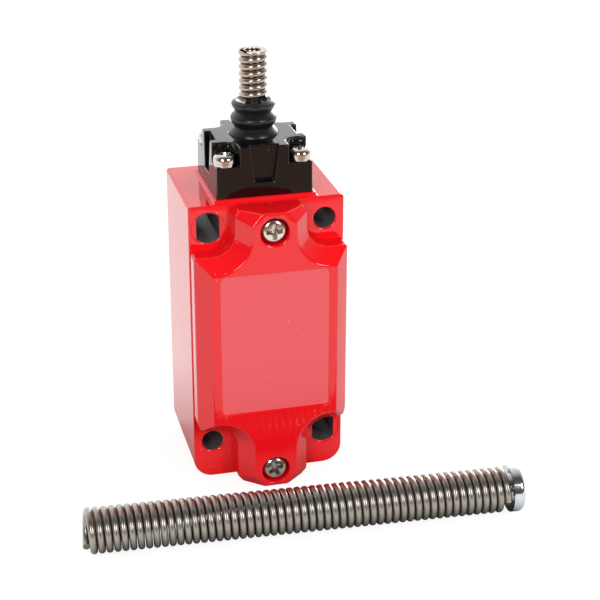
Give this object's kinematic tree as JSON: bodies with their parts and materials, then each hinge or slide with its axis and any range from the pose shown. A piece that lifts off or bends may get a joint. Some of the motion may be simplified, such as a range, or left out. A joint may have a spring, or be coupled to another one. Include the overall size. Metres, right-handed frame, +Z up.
{
  "type": "safety limit switch",
  "caption": "Narrow metal limit switch with a screwed front cover, a square head and rubber boot under a stub spring that leans any way, and a loose push-on spring rod.",
  "frame": {"origin": "centre of the conduit entry in the bottom face, at mid width and mid depth of the housing", "axes": "+Z up along the housing towards the head, +X to the right seen from the cover, +Y to the back mounting face"},
  "size_m": [0.1108, 0.0728, 0.1115],
  "materials": {
    "red_paint": "gloss powder coat on a zinc die casting",
    "black_paint": "gloss",
    "boot_rubber": "satin moulded rubber",
    "black_rubber": "matte",
    "zinc_steel": "bright zinc plate",
    "hard_steel": "ground",
    "nickel_spring": "bright drawn wire",
    "spring_steel": "drawn wire",
    "chrome_cap": "polished",
    "bronze": "sintered",
    "brass_strip": "stamped",
    "silver": "bright",
    "black_moulding": "moulded",
    "white_moulding": "moulded"
  },
  "bodies": {
    "root": {"housing": "red_paint", "cover": "red_paint", "cover_gasket": "black_rubber", "cover_screws": "zinc_steel", "head": "black_paint", "head_gasket": "black_rubber", "head_screws": "zinc_steel", "head_washers": "zinc_steel", "guide_bush": "bronze", "plunger_seal": "black_rubber", "plunger_spring": "spring_steel", "contact_block": "black_moulding", "block_screws": "zinc_steel", "carrier_spring": "spring_steel", "closed_contacts": "brass_strip", "open_contacts": "brass_strip", "contact_tips": "silver", "terminal_clamps": "zinc_steel", "terminal_screws": "zinc_steel", "earth_clamp": "zinc_steel", "earth_screw": "zinc_steel", "rod_spring": "nickel_spring", "rod_cap": "chrome_cap"},
    "lean_carrier": {"pivot_ring": "hard_steel", "boot": "boot_rubber"},
    "rod": {"stem_rocker": "hard_steel", "stub_spring": "nickel_spring"},
    "plunger": {"plunger": "hard_steel"},
    "carrier": {"contact_carrier": "white_moulding", "closed_bridge": "brass_strip", "open_bridge": "brass_strip", "contact_springs": "spring_steel"}
  },
  "joints": [
    {"name": "lean_direction", "type": "hinge", "parent": "root", "child": "lean_carrier", "pos_m": [0, -0.0026, 0.085], "axis": [0, 0, 1], "continuous": true},
    {"name": "rod_lean", "type": "hinge", "parent": "lean_carrier", "child": "rod", "pos_m": [-0.007, -0.0026, 0.08493], "axis": [0, 1, 0], "range_deg": [0, 15], "stiffness_Nm_per_rad": 0.5, "springref_deg": -11.46, "deforming": ["boot"]},
    {"name": "plunger_travel", "type": "slide", "parent": "root", "child": "plunger", "axis": [0, 0, -1], "range_m": [0, 0.0021], "deforming": ["plunger_spring"]},
    {"name": "carrier_travel", "type": "slide", "parent": "root", "child": "carrier", "axis": [0, 0, -1], "range_m": [0, 0.0021], "deforming": ["carrier_spring"]}
  ],
  "couplings": [
    {"joint": "plunger_travel", "follows": "rod_lean", "m_per_rad": 0.00802},
    {"joint": "carrier_travel", "follows": "rod_lean", "m_per_rad": 0.00802}
  ]
}
